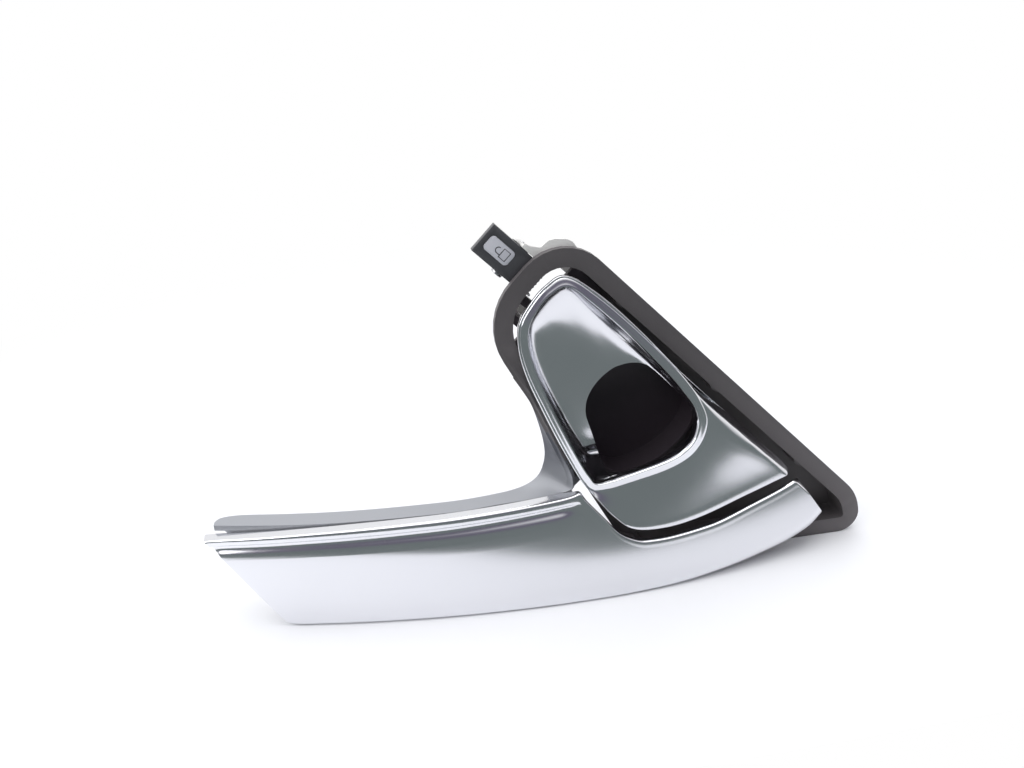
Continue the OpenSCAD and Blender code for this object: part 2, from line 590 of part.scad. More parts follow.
// Torsion spring round the hinge pin, with a leg to the bracket and one to the yoke
module return_spring() {
    sides = 6;
    per_turn = 14;
    mean_r = pin_d / 2 + 0.5 + spring_wire / 2;
    steps = spring_turns * per_turn;
    coil = [for (k = [0:steps]) let (a = 360 * k / per_turn)
        [mean_r * cos(a), mean_r * sin(a), lerp(spring_v[0] + 1, spring_v[1] - 1, k / steps)]];
    first = coil[0];
    last = coil[steps];
    route = concat([first + [0, -3.4, 0]], coil, [last + [0, 3.6, 0]]);
    color([0.62, 0.63, 0.65]) slanted() translate([hinge_u, hinge_y, 0])
        tube_along(route, spring_wire / 2, sides);
}
module tube_along(route, r, sides) {
    n = len(route);
    rings = [for (i = [0:n - 1]) let (
        t = unit(route[min(i + 1, n - 1)] - route[max(i - 1, 0)]),
        radial = unit([route[i][0], route[i][1], 0]),
        p = unit(radial - t * (radial * t)),
        q = cross(t, p))
        [for (j = [0:sides - 1]) route[i] + r * (p * cos(360 * j / sides) + q * sin(360 * j / sides))]];
    skin(rings, false);
}

// Rubber stops for the lever, on posts of the carrier
module lever_buffers() {
    color([0.07, 0.07, 0.07]) for (k = [0, 1]) difference() {
        bar(buffer_spots[k], buffer_front(k), buffer_front(k) + 7, 3.8);
        bar(buffer_spots[k], buffer_front(k) + 3 - fit, buffer_front(k) + 8, 2.6 + fit);
    }
}

module finger_cup() {
    inside = loop_curve(cup_outline, 4);
    color([0.06, 0.06, 0.07]) difference() {
        union() {
            slab(6.6, cup_floor + cup_t) polygon(grown(inside, cup_t));
            slab(skirt_depth + 0.1, skirt_depth + 1.8) polygon(grown(inside, 4.4));
            for (s = cup_screw_spots) bar(s, skirt_depth + 0.1, skirt_depth + 1.8, 4);
        }
        slab(5, cup_floor) polygon(inside);
        for (s = cup_screw_spots) bar(s, skirt_depth - 1, skirt_depth + 3, screw_r + 0.2);
    }
}
module cup_screws() {
    color([0.6, 0.6, 0.62]) for (s = cup_screw_spots)
        screw(s, pan_front - 2.5, skirt_depth + 1.9);
}

// Thin foam strip behind the rim
module rim_seal() {
    color([0.16, 0.16, 0.17]) difference() {
        slab(0.05, 1.2) difference() {
            polygon(ring_outline(0.8));
            polygon(ring_outline(3));
        }
        fixing_bosses(-1, 3, boss_r + seat);
        for (s = blade_peg_spots) bar(s, -1, 3, peg_r + 0.5);
        slanted() block([-120, -82], [-1, 3], [-45, 10]);
        // room for the back of the web
        slab(-1, 3) polygon([[-100, 16], [-72, 16], [-50, -42], [-100, -42]]);
    }
}

// Lock tab on its pivot, with a crank for the lock's rod
module lock_tab() {
    color([0.2, 0.2, 0.22]) slanted() difference() {
        union() {
            block([tab_end_u, -99.5], [0.5, 0.5 + tab_t], tab_v);
            block([-100, tab_root_u], [0.5, 2.2], tab_v);
            rod(lock_u, lock_y, tab_v, 4);
            block([lock_u - 3, lock_u + 2], [2, lock_y], tab_v);
            block([lock_u - 2, lock_u + 2], [lock_y, 20], [-20, -17]);
        }
        rod(lock_u, lock_y, [-40, 0], lock_pin_d / 2 + fit);
        rod(lock_u, 17.6, [-21, -16], 1.2);
        translate([0, 0.5, 0]) inlay_recess(0.8, 0.1);
    }
}
// Rounded place for the inlay, cut into the tab's face
module inlay_recess(depth, margin) {
    u = [-114.4 - margin, -102.6 + margin];
    v = [tab_v[0] + 3.4 - margin, tab_v[1] - 3 + margin];
    r = 1.6;
    translate([0, depth, 0]) rotate([90, 0, 0]) linear_extrude(depth + 1) union() {
        translate([u[0] + r, v[0]]) square([u[1] - u[0] - 2 * r, v[1] - v[0]]);
        translate([u[0], v[0] + r]) square([u[1] - u[0], v[1] - v[0] - 2 * r]);
        for (a = [u[0] + r, u[1] - r], b = [v[0] + r, v[1] - r]) translate([a, b]) circle(r);
    }
}
module lock_inlay() {
    color([0.8, 0.8, 0.84]) slanted() intersection() {
        translate([0, 0.5, 0]) inlay_recess(0.75, 0);
        block([-120, -90], [0.4, 2], [-30, 0]);
    }
}
module lock_pin() {
    color([0.7, 0.71, 0.73]) slanted() {
        rod(lock_u, lock_y, [tab_v[0] - 0.4, tab_v[1] + 1.8], lock_pin_d / 2);
        rod(lock_u, lock_y, [tab_v[0] - 1.6, tab_v[0] - 0.4], lock_pin_d / 2 + 1);
    }
}
// Leaf spring that gives the lock tab its two positions
module lock_spring() {
    color([0.62, 0.63, 0.65]) slanted() union() {
        block([-105, beam_u - fit], [11.7, 12.15], [-24.5, -21]);
        block([beam_u - fit - 0.45, beam_u - fit], [11.7, bracket_seat + 1.5], [-24.5, -21]);
    }
}

carrier();
pull_blade();
blade_screws();
finger_cup();
cup_screws();
hinge_bracket();
bracket_screws();
hinge_pin();
pin_clips();
return_spring();
lever_buffers();
panel_clips();
rim_seal();
lock_pin();
lock_spring();
release_lever();
lever_yoke();
yoke_screws();
lock_tab();
lock_inlay();
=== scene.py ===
import math

import bmesh
import bpy
import numpy as np
from mathutils import Matrix, Vector


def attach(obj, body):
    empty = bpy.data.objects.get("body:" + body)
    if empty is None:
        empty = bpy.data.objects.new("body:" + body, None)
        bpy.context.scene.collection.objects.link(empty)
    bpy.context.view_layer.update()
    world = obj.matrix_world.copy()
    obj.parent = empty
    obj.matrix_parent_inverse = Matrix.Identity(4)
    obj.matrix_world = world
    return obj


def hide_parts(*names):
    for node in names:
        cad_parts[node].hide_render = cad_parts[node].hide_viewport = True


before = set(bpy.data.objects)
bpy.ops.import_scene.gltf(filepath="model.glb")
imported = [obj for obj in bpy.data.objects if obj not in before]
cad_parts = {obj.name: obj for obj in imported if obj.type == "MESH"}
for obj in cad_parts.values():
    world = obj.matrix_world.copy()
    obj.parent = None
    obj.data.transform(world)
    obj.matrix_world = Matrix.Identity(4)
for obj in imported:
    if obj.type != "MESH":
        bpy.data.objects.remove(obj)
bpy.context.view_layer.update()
MM = 0.001

# Sizes and outlines shared with the part's source, in millimetres
FLOOR_Z = -81.0
BOW = 26.5
BOW_R = 560.0
BLADE_T = 2.2
LEVER_T = 2.2
LEVER_WALL = 4.0
BEAD_H = 1.2
INNER_BEAD_H = BEAD_H + 0.2
LEVER_EDGE_R = 0.9
PIN_R = 1.5
SPRING_WIRE = 1.1
SPRING_TURNS = 6
SPRING_V = (-23.6, -14)
HINGE_U = -90.5
HINGE_Y = 4.5
# The face's lean for each millimetre of height, and where it grows from left to right
LEAN_LEFT, LEAN_MORE, LEAN_FROM_X, LEAN_LENGTH = 0.06, 0.16, -190, 150
BOW_X = -65
# Where the face turns back along the slanted side, and how steeply
TURN_BACK_V, TURN_BACK = -9.3, 1.6
# A point of the plane that the lever's bead stands on, and the plane's lean
CREST_Y, CREST_Z, CREST_LEAN = -6, 55, 0.115

# Top and bottom edge of the blade, paired from left to right: x, z
BLADE_TOP = [(-214.5, -41), (-211, -40.4), (-196, -39.5), (-176, -38.3), (-156, -37.6),
    (-137, -37.2), (-117, -37), (-97, -36.4), (-80, -35.6), (-68, -34.8), (-64, -34.4),
    (-62.2, -37.3), (-58, -42.4), (-54, -47.2), (-50, -52), (-46, -55.4), (-40, -58.2),
    (-35, -58.9), (-26, -59), (-13, -57.9), (-3, -56.4), (11, -52.6), (23, -49.5),
    (31, -47.2), (33, -46.6), (36.3, -47.6)]
BLADE_BOTTOM = [(-188, -78), (-184, -80.8), (-172, -81), (-158, -81), (-144, -81),
    (-130, -81), (-115, -81), (-100, -81), (-86, -81), (-76, -81), (-69, -81),
    (-64, -81), (-58, -81), (-52, -81), (-46, -81), (-40, -81), (-34, -81),
    (-27, -81), (-17, -80.7), (-5, -79.9), (6, -78.8), (18, -77), (29, -74.9),
    (39, -71.9), (44, -69.6), (49, -66)]
# Outlines of the lever, paired point by point, from the top down the left side: x, z
LEVER_EDGE = [(-65.4, 53.7), (-73.8, 50.4), (-80.4, 43.7), (-84.8, 36.3), (-85.4, 27),
    (-82.9, 15.7), (-77.9, 2.6), (-71.4, -12.9), (-65.8, -24.9), (-62.4, -31.2),
    (-57.3, -38), (-50.5, -46.6), (-42, -53.2), (-28, -54.8), (-12, -52.9), (8, -48),
    (22, -44.8), (30.5, -42.6), (29.5, -39.2), (17, -26.7), (2, -11.8), (-10, 0.2),
    (-22, 12.8), (-37, 29.8), (-52.6, 45.2)]
BEAD_OUTER = [(-65.2, 52.8), (-73.2, 49.7), (-79.6, 43.2), (-83.9, 36), (-84.5, 27),
    (-82, 16), (-77, 3), (-70.5, -12.5), (-65, -24.5), (-61.8, -30.6), (-58.6, -34.5),
    (-51.4, -34.75), (-45.5, -33.8), (-30, -30.6), (-21.6, -27.8), (-16, -24.5), (-12.5, -20.5),
    (-10.5, -16.5), (-9.5, -12), (-9.9, -8), (-11.8, -3.2), (-15.4, 3.2),
    (-23.2, 13.4), (-38, 29.6), (-53.4, 44.4)]
BEAD_INNER = [(-64.8, 49.1), (-71.8, 46.9), (-77.4, 41.2), (-80.8, 34.5), (-81, 26),
    (-78.4, 15.6), (-73.7, 3), (-67, -12.5), (-62.1, -23), (-59.4, -27.8), (-56.6, -31.3),
    (-50.4, -30.8), (-45.5, -29.8), (-31, -26.4), (-23.6, -24), (-19.4, -21.5), (-16.4, -18.4),
    (-14.9, -15.2), (-14.2, -11.2), (-14.5, -8), (-15.8, -4), (-19, 1),
    (-26.4, 10.8), (-41.2, 27.6), (-56.5, 42.6)]
# Edge of the finger hole: x, z, y
HOLE_EDGE = [(-43, 11.2, 3), (-46, 9.8, 3), (-49.3, 7.4, 3), (-52.2, 4.4, 3),
    (-54.6, 0.8, 3), (-56.2, -3.5, 3), (-56.4, -9, 3), (-54.8, -15, 3), (-52.4, -23, 3),
    (-51.2, -27.8, 1.8), (-51, -30.3, -11.6), (-49.5, -30.3, -12.8), (-45.3, -29.4, -12.6),
    (-31.1, -26.1, -12), (-23.8, -23.7, -11.6), (-19.7, -21.3, -11.3), (-16.7, -18.2, -10.8),
    (-15.3, -15, -10.4), (-14.6, -11.2, -9.8), (-14.9, -7.9, -8.8), (-16.3, -3.8, -6),
    (-20, 0.2, -1.5), (-26, 6.4, 2.5), (-31.2, 10.6, 3), (-37, 12, 3)]
# How much of the flat panel each of those points has, and how steep the scoop starts
PANEL_SHARE = [0, 0, 0, 0, 0, 0, 0, 0, 0, 0, 0.9, 1, 1, 1, 1, 1, 1, 1, 1, 1, 1, 0.6, 0, 0, 0]
SCOOP_STEEP = [0.3, 0.5, 0.8, 1, 1, 1, 1, 1, 0.9, 0.7, 0.5, 0.2, 0, 0, 0, 0, 0, 0, 0, 0,
    0.1, 0.3, 0.5, 0.4, 0.3]

# How close points are welded, in metres, and how flat faces are joined, in degrees
WELD = 2e-6
FLAT_ANGLE = 0.6


def lerp(a, b, t):
    return a + (b - a) * t


def smooth(t):
    """An S-shaped rise from 0 to 1, level outside that range."""
    t = min(1.0, max(0.0, t))
    return t * t * (3 - 2 * t)


def bend(p, q, r, s, t):
    """A point between q and r on the smooth curve through all four."""
    return 0.5 * (2 * q + (r - p) * t + (2 * p - 5 * q + 4 * r - s) * t * t
        + (3 * q - p - 3 * r + s) * t * t * t)


def loop_curve(pts, steps):
    """A smooth closed curve through the points, with steps points for each of them."""
    pts = [np.atleast_1d(np.array(p, float)) for p in pts]
    n = len(pts)
    return [bend(pts[i - 1], pts[i], pts[(i + 1) % n], pts[(i + 2) % n], k / steps)
        for i in range(n) for k in range(steps)]


def open_curve(pts, steps):
    """A smooth curve from the first point to the last."""
    pts = [np.atleast_1d(np.array(p, float)) for p in pts]
    n = len(pts)
    out = [bend(pts[max(i - 1, 0)], pts[i], pts[i + 1], pts[min(i + 2, n - 1)], k / steps)
        for i in range(n - 1) for k in range(steps)]
    return out + [pts[-1]]


def lean(x):
    """How far the blade's face leans back for each millimetre of height."""
    return LEAN_LEFT + LEAN_MORE * smooth((x - LEAN_FROM_X) / LEAN_LENGTH)


def bow_y(x):
    """Depth of the bowed face along its lowest line."""
    return BOW_R - BOW - math.sqrt(BOW_R * BOW_R - (x - BOW_X) * (x - BOW_X))


def face_y(x, z):
    """Depth of the blade's and the panel's face. Along the slanted side it turns back."""
    past_slant = max(0.0, (x + z) / math.sqrt(2) - TURN_BACK_V)
    return bow_y(x) + lean(x) * (z - FLOOR_Z) + TURN_BACK * past_slant


def crest_y(z):
    """Depth of the plane that the lever's bead stands on."""
    return CREST_Y - CREST_LEAN * (CREST_Z - z)


def slant(u, y, v):
    """A point of the hinge frame, in metres in the row frame."""
    return Vector(((u + v) / math.sqrt(2), y, (v - u) / math.sqrt(2))) * MM


# Shader nodes

def add_node(tree, kind, inputs=None, **settings):
    """A new shader node with its settings, and then its inputs' values."""
    made = tree.nodes.new("ShaderNode" + kind)
    for name, value in settings.items():
        setattr(made, name, value)
    for name, value in (inputs or {}).items():
        made.inputs[name].default_value = value
    return made


def smooth_range(tree, value, start, end):
    """A smooth rise from 0 to 1 while a socket's value goes from start to end."""
    rise = add_node(tree, "MapRange", {"From Min": start, "From Max": end},
        interpolation_type="SMOOTHSTEP")
    tree.links.new(value, rise.inputs["Value"])
    return rise.outputs["Result"]


def math_of(tree, operation, *values):
    """The result of a math node on sockets and numbers."""
    made = add_node(tree, "Math", operation=operation)
    for place, value in zip(made.inputs, values):
        if isinstance(value, float):
            place.default_value = value
        else:
            tree.links.new(value, place)
    return made.outputs[0]


def mix_of(tree, factor, first, second):
    """A mix of two colours, each a socket or four numbers."""
    made = add_node(tree, "Mix", data_type="RGBA")
    tree.links.new(factor, made.inputs["Factor"])
    for name, value in (("A", first), ("B", second)):
        if isinstance(value, tuple):
            made.inputs[name].default_value = value
        else:
            tree.links.new(value, made.inputs[name])
    return made.outputs["Result"]


# Materials

PATCH_SCALE = 26
GRAIN_SHARE = 0.35
NOISE_RANGE = (0.3, 0.7)
# pointiness range over which sharp edges fade into a painted edge highlight
EDGE_HIGHLIGHT_RANGE = (0.53, 0.62)
RELIEF = 0.0004


def tinted(base, factor, lift=0.0):
    return tuple(min(1, c * factor + lift) for c in base) + (1,)


def new_material(name, base, metallic=0.0, rough=0.5, rough_spread=0.06, grain=900.0, bump=0.02,
        colour_spread=0.06, edge_highlight=0.0, streak=(1, 1, 1)):
    """A material with broad patches and fine grain in its colour, gloss and relief."""
    m = bpy.data.materials.new(name)
    m.use_nodes = True
    tree, link = m.node_tree, m.node_tree.links.new
    shader = tree.nodes["Principled BSDF"]
    shader.inputs["Metallic"].default_value = metallic
    place = add_node(tree, "TexCoord").outputs["Object"]
    scale = add_node(tree, "Mapping", {"Scale": streak})
    link(place, scale.inputs["Vector"])
    broad = add_node(tree, "TexNoise", {"Scale": PATCH_SCALE, "Detail": 4})
    link(place, broad.inputs["Vector"])
    fine = add_node(tree, "TexNoise", {"Scale": grain, "Detail": 3})
    link(scale.outputs["Vector"], fine.inputs["Vector"])
    patches = math_of(tree, "MULTIPLY", broad.outputs["Fac"], 1 - GRAIN_SHARE)
    noise = math_of(tree, "MULTIPLY_ADD", fine.outputs["Fac"], GRAIN_SHARE, patches)
    ramp = add_node(tree, "ValToRGB")
    for stop, position, shift in zip(ramp.color_ramp.elements, NOISE_RANGE, (-1, 1)):
        stop.position = position
        stop.color = tinted(base, 1 + shift * colour_spread)
    link(noise, ramp.inputs["Fac"])
    colour = ramp.outputs["Color"]
    if edge_highlight:
        # paler along sharp edges: a painted highlight standing in for the light that rounded edges
        # catch
        edge = add_node(tree, "MapRange", {"From Min": EDGE_HIGHLIGHT_RANGE[0], "From Max": EDGE_HIGHLIGHT_RANGE[1],
            "To Max": edge_highlight})
        link(add_node(tree, "NewGeometry").outputs["Pointiness"], edge.inputs["Value"])
        colour = mix_of(tree, edge.outputs["Result"], colour, tinted(base, 1.8, 0.04))
    link(colour, shader.inputs["Base Color"])
    gloss = add_node(tree, "MapRange", {"From Min": NOISE_RANGE[0], "From Max": NOISE_RANGE[1],
        "To Min": max(0.02, rough - rough_spread), "To Max": min(1, rough + rough_spread)})
    link(noise, gloss.inputs["Value"])
    link(gloss.outputs["Result"], shader.inputs["Roughness"])
    relief = add_node(tree, "Bump", {"Strength": bump, "Distance": RELIEF})
    link(fine.outputs["Fac"], relief.inputs["Height"])
    link(relief.outputs["Normal"], shader.inputs["Normal"])
    return m


silver = new_material("satin_silver", (0.80, 0.805, 0.835), metallic=1.0, rough=0.15,
    rough_spread=0.02, grain=5200, bump=0.006, colour_spread=0.015)
dark = new_material("dark_moulding", (0.105, 0.096, 0.099), rough=0.5, rough_spread=0.07,
    grain=2400, bump=0.16, colour_spread=0.12, edge_highlight=0.3)
grey_web = new_material("satin_moulding", (0.37, 0.38, 0.405), metallic=0.3, rough=0.38,
    rough_spread=0.04, grain=4200, bump=0.02, colour_spread=0.03)
black = new_material("black_moulding", (0.042, 0.033, 0.041), rough=0.42, rough_spread=0.07,
    grain=1800, bump=0.14, colour_spread=0.15, edge_highlight=0.2)
nylon = new_material("white_nylon", (0.90, 0.89, 0.86), rough=0.5, rough_spread=0.06,
    grain=1200, bump=0.08, colour_spread=0.03)
zinc = new_material("zinc_steel", (0.55, 0.55, 0.56), metallic=1.0, rough=0.36,
    rough_spread=0.1, grain=3000, bump=0.1, colour_spread=0.08, edge_highlight=0.4)
pin_steel = new_material("pin_steel", (0.6, 0.6, 0.62), metallic=1.0, rough=0.22,
    rough_spread=0.05, grain=3200, bump=0.04, colour_spread=0.04, streak=(1, 1, 0.1))
spring_steel = new_material("spring_steel", (0.4, 0.4, 0.41), metallic=1.0, rough=0.34,
    rough_spread=0.08, grain=3200, bump=0.08, colour_spread=0.08)
rubber = new_material("black_rubber", (0.02, 0.02, 0.02), rough=0.75, rough_spread=0.08,
    grain=1500, bump=0.2, colour_spread=0.15)
foam = new_material("foam_strip", (0.035, 0.035, 0.037), rough=0.92, rough_spread=0.05,
    grain=2600, bump=0.6, colour_spread=0.25)
tab_dark = new_material("tab_moulding", (0.075, 0.075, 0.082), rough=0.4, rough_spread=0.07,
    grain=2400, bump=0.12, colour_spread=0.1, edge_highlight=0.3)
plate = new_material("silver_plate", (0.80, 0.80, 0.86), metallic=0.1, rough=0.34,
    rough_spread=0.05, grain=2800, bump=0.04, colour_spread=0.03)
ink = new_material("dark_ink", (0.05, 0.05, 0.06), rough=0.5, rough_spread=0.05,
    grain=2800, bump=0.04, colour_spread=0.08)

# The web gets darker between these heights, in metres, on its way up to the ring
WEB_PALE_Z, WEB_DARK_Z = -0.037, -0.016
web_tree = grey_web.node_tree
web_height = add_node(web_tree, "SeparateXYZ")
web_tree.links.new(add_node(web_tree, "TexCoord").outputs["Object"], web_height.inputs["Vector"])
web_colour = web_tree.nodes["Principled BSDF"].inputs["Base Color"]
web_tree.links.new(mix_of(web_tree,
    smooth_range(web_tree, web_height.outputs["Z"], WEB_PALE_Z, WEB_DARK_Z),
    web_colour.links[0].from_socket, (0.115, 0.12, 0.14, 1)), web_colour)


# Meshes

def new_object(name, mesh):
    obj = bpy.data.objects.new(name, mesh)
    bpy.context.scene.collection.objects.link(obj)
    return obj


def finish_mesh(obj, mats, sharp=34.0):
    """Welds a piece, shades it smooth up to the sharp angle and gives it its materials."""
    bm = bmesh.new()
    bm.from_mesh(obj.data)
    bmesh.ops.remove_doubles(bm, verts=bm.verts, dist=WELD)
    bmesh.ops.recalc_face_normals(bm, faces=bm.faces)
    limit = math.radians(sharp)
    for e in bm.edges:
        e.smooth = len(e.link_faces) == 2 and e.calc_face_angle(0) < limit
    for f in bm.faces:
        f.smooth = True
    bm.to_mesh(obj.data)
    bm.free()
    obj.data.materials.clear()
    for m in mats:
        obj.data.materials.append(m)
    return obj


def grid_mesh(name, sections, looped):
    """A closed skin over sections with the same number of points, in millimetres."""
    n, m = len(sections), len(sections[0])
    verts = [tuple(c * MM for c in p) for s in sections for p in s]
    faces = []
    for i in range(n if looped else n - 1):
        for j in range(m):
            k = (i + 1) % n
            faces.append((i * m + j, i * m + (j + 1) % m, k * m + (j + 1) % m, k * m + j))
    if not looped:
        half = m // 2
        for i in (0, n - 1):
            for j in range(half - 1):
                faces.append((i * m + j, i * m + j + 1, i * m + m - 2 - j, i * m + m - 1 - j))
    me = bpy.data.meshes.new(name)
    me.from_pydata(verts, [], faces)
    me.update()
    return new_object(name, me)


def dressed(node, name, mats, bevel, sharp=34.0, angle=38.0):
    """A new piece from a copy of a CAD node's mesh, with its sharp edges rounded."""
    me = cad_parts[node].data.copy()
    obj = new_object(name, me)
    bm = bmesh.new()
    bm.from_mesh(me)
    bmesh.ops.remove_doubles(bm, verts=bm.verts, dist=WELD)
    bmesh.ops.dissolve_limit(bm, angle_limit=math.radians(FLAT_ANGLE), verts=bm.verts,
        edges=bm.edges)
    bm.to_mesh(me)
    bm.free()
    mod = obj.modifiers.new("round", "BEVEL")
    mod.width = bevel * MM
    mod.segments = 2
    mod.limit_method = "ANGLE"
    mod.angle_limit = math.radians(angle)
    deps = bpy.context.evaluated_depsgraph_get()
    baked = bpy.data.meshes.new_from_object(obj.evaluated_get(deps))
    obj.modifiers.clear()
    obj.data = baked
    return finish_mesh(obj, mats, sharp)


def put(obj, body, slot, *nodes):
    """Says which body carries a piece and which nodes it stands for; slot is not used."""
    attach(obj, body)
    if nodes:
        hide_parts(*nodes)
    return obj


# The blade: a fine skin over the same sections as the solid

# The head of a section with its bead and without: distance down the face and depth
HEAD_FULL = [(0.4, 4.5), (0, 3.9), (0.35, 0.5), (1.0, -0.62), (3.2, -0.52), (4.1, 0.4), (4.8, 1.3),
    (6.6, 1.4), (9, 0.4), (12, 0)]
HEAD_FLAT = [2.6, 1.2, 0.35, 0, 0, 0, 0, 0, 0, 0]
HEAD_LENGTH = HEAD_FULL[-1][0]
FACE_SHARES = (0.15, 0.3, 0.45, 0.6, 0.75, 0.9)
FOOT_STEPS = 10
CURVE_STEPS = 7
# Where the bead runs out at the lever, and how the foot's rounding grows to the right
BEAD_END_X, BEAD_FADE = -72, 10
FOOT_R, FOOT_R_MORE, FOOT_FROM_X, FOOT_LENGTH = 2, 4.5, -55, 80


def blade_section(top, bottom):
    span = float(np.linalg.norm(bottom - top))
    d = (bottom - top) / span
    bead = 1 - smooth((top[0] - BEAD_END_X) / BEAD_FADE)
    r = FOOT_R + FOOT_R_MORE * smooth((bottom[0] - FOOT_FROM_X) / FOOT_LENGTH)
    head = [np.array((min(a, span * 0.5 + a / 20), lerp(flat, full, bead)))
        for (a, full), flat in zip(HEAD_FULL, HEAD_FLAT)]
    # the lip's flat back edge, then a smooth run over its rounding, crest and valley
    front = [head[0]] + open_curve(head[1:], 4)
    front += [np.array((lerp(HEAD_LENGTH, span - r, t), 0.0)) for t in FACE_SHARES]
    # the rounded foot
    for k in range(FOOT_STEPS):
        a = math.pi / 2 * k / (FOOT_STEPS - 1)
        front.append(np.array((span - r * (1 - math.sin(a)), r * (1 - math.cos(a)) * 0.9)))
    out = []
    for a, y in front:
        q = top + d * a
        out.append((q[0], face_y(q[0], q[1]) + y, q[1]))
    # and back along the inside, which starts narrow behind the lip
    inner = head[3][1] + BLADE_T
    for k in range(len(front) - 1, -1, -1):
        a = max(BLADE_T * 0.9, min(front[k][0], span - BLADE_T))
        rise = lerp(head[0][1] + 0.05, inner, k / 9) if k < 9 else front[k][1] + BLADE_T
        q = top + d * a
        out.append((q[0], face_y(q[0], q[1]) + rise, q[1]))
    return out


tops = open_curve(BLADE_TOP, CURVE_STEPS)
bottoms = open_curve(BLADE_BOTTOM, CURVE_STEPS)
blade = grid_mesh("blade_shell", [blade_section(t, b) for t, b in zip(tops, bottoms)], False)
finish_mesh(blade, [silver], 40)
put(blade, "carrier", "satin_silver", "pull_blade")


# The lever: its panel, bead, scoop and hole

# The bead's section: share of its width, and height
BEAD_SECTION = [(0, BEAD_H), (0.12, 0.82), (0.5, 0.4), (0.86, 0.02), (1, INNER_BEAD_H)]
PANEL_STEPS = 12
SCOOP_STEPS = 18
# How far the edge lies behind the bead's plane, and where its wall gets shallower
EDGE_DROP = 0.9
THIN_WALL_Z, THIN_WALL_FADE = 38, 10


def lever_section(e, bo, bi, h, share, steep):
    """A section from the lever's edge e over the bead, bo to bi, to the hole's edge h.

    share says how much it follows the flat panel, steep how steeply the scoop starts."""
    d = float(np.linalg.norm(bo - e))
    n = (bo - e) / d
    ye = lerp(crest_y(e[1]) + EDGE_DROP, face_y(e[0], e[1]), share)
    yb = crest_y(bo[1]) + BEAD_H
    ease = yb - face_y(bo[0], bo[1])
    hole = np.array((h[0], h[1]))
    # the wall round the edge is half as deep at the lever's top
    wall = LEVER_WALL * (1 - 0.5 * smooth((e[1] - THIN_WALL_Z) / THIN_WALL_FADE))
    out = [(e[0] + n[0] * 0.5, ye + wall, e[1] + n[1] * 0.5)]
    r = min(LEVER_EDGE_R, 0.5 * d)
    for a in (0, 18, 36, 54, 72, 90):
        c, s = math.cos(math.radians(a)), math.sin(math.radians(a))
        q = e + n * r * (1 - c)
        out.append((q[0], ye + LEVER_EDGE_R * (1 - s), q[1]))
    # the panel
    start = r / d
    for k in range(1, PANEL_STEPS):
        t = lerp(start, 1, k / PANEL_STEPS)
        q = lerp(e, bo, t)
        flat = lerp(ye, yb, t)
        curved = face_y(q[0], q[1]) + ease * smooth((t - start) / (1 - start))
        out.append((q[0], lerp(flat, curved, share), q[1]))
    for t, y in open_curve(BEAD_SECTION, 3):
        q = lerp(bo, bi, t)
        out.append((q[0], crest_y(q[1]) + y, q[1]))
    # the scoop, down to the hole
    yi = crest_y(bi[1]) + INNER_BEAD_H
    power = 1 + 1.5 * steep
    walk = [np.array((bi[0], yi, bi[1]))]
    for k in range(1, SCOOP_STEPS + 1):
        t = k / SCOOP_STEPS
        q = lerp(bi, hole, t ** power)
        walk.append(np.array((q[0], lerp(yi, h[2], 1 - (1 - t) ** power), q[1])))
    out += [tuple(p) for p in walk[1:]]
    # back up under the scoop, at the shell's thickness
    inward = np.array((hole[0] - bi[0], 0, hole[1] - bi[1]))
    inward = inward / np.linalg.norm(inward)
    for k in range(len(walk) - 1, 0, -2):
        step = walk[min(k + 1, len(walk) - 1)] - walk[k - 1]
        normal = np.array((0, step @ inward, 0)) - inward * step[1]
        out.append(tuple(walk[k] + normal / np.linalg.norm(normal) * LEVER_T))
    # and under the bead and the panel to the wall
    under = lerp(bo, bi, lerp(0.6, 0.3, share))
    mid = e + n * max(2.5, 0.5 * d)
    mid_y = ye + 2.9
    if d > 5:
        mid_y = face_y(mid[0], mid[1]) + ease * 0.5 * share + LEVER_T
    rim = e + n * 2.4
    out.append((under[0], crest_y(under[1]) + 3.8, under[1]))
    out.append((mid[0], mid_y, mid[1]))
    out.append((rim[0], ye + min(3, wall - 0.8), rim[1]))
    out.append((e[0] + n[0] * 2.2, ye + wall, e[1] + n[1] * 2.2))
    return out


LOOP_STEPS = 10
outlines = [loop_curve(table, LOOP_STEPS)
    for table in (LEVER_EDGE, BEAD_OUTER, BEAD_INNER, HOLE_EDGE)]
ratios = [[min(1.0, max(0.0, float(s[0]))) for s in loop_curve(table, LOOP_STEPS)]
    for table in (PANEL_SHARE, SCOOP_STEEP)]
lever = grid_mesh("lever_shell", [lever_section(*a) for a in zip(*outlines, *ratios)], True)
finish_mesh(lever, [silver], 40)
put(lever, "lever", "satin_silver", "release_lever")


# The carrier: its ring and inside are dark, its web and strip a lighter satin grey

ARM_RIGHT_X, ARM_BACK_Y, ARM_TOP_Z = -58, 1.5, 16
# A line beside the ring, where the web starts: a point of it and its slope
RING_SIDE_X, RING_SIDE_Z, RING_SIDE_SLOPE = -91.8, 21.5, 1.85


def on_arm(x, y, z):
    """Whether a place of the carrier belongs to the arm or the web, left of the ring."""
    left_of_ring = (x - RING_SIDE_X) * RING_SIDE_SLOPE + z < RING_SIDE_Z
    return x < ARM_RIGHT_X and y < ARM_BACK_Y and z < ARM_TOP_Z and left_of_ring


carrier = dressed("carrier", "carrier_body", [dark, grey_web], bevel=0.45)
for f in carrier.data.polygons:
    if on_arm(*(f.center / MM)):
        f.material_index = 1
put(carrier, "carrier", "dark_moulding", "carrier")

